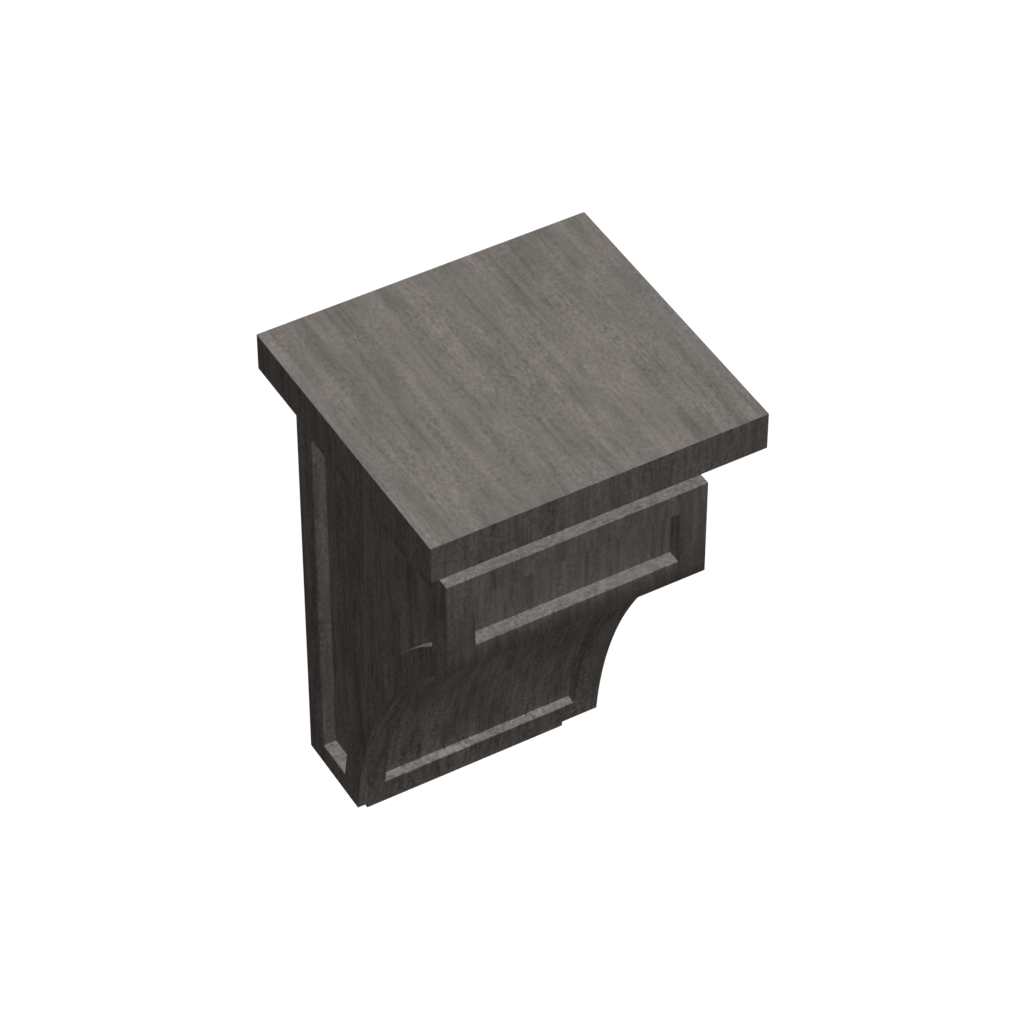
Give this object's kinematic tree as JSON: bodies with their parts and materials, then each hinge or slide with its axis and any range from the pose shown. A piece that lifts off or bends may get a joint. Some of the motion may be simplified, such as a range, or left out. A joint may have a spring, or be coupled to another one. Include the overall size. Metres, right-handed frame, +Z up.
{
  "type": "corbel",
  "caption": "Shaker corbel of dark stained wood: a thick overhanging cap board on a clad bracket with a hollow cove front and flat recesses in its faces.",
  "frame": {"origin": "middle of the core's flat back, which lies against the wall", "axes": "+X along the wall to the viewer's right, +Y into the wall, +Z up; the front faces -Y"},
  "size_m": [0.158, 0.1475, 0.2743],
  "materials": {
    "stained_wood": "dark grey-brown stain with a dull satin coat, fine straight grain"
  },
  "bodies": {
    "root": {"cap_board": "stained_wood", "core": "stained_wood", "left_side_board": "stained_wood", "right_side_board": "stained_wood", "upright_front_board": "stained_wood", "cove_board": "stained_wood"}
  },
  "joints": []
}
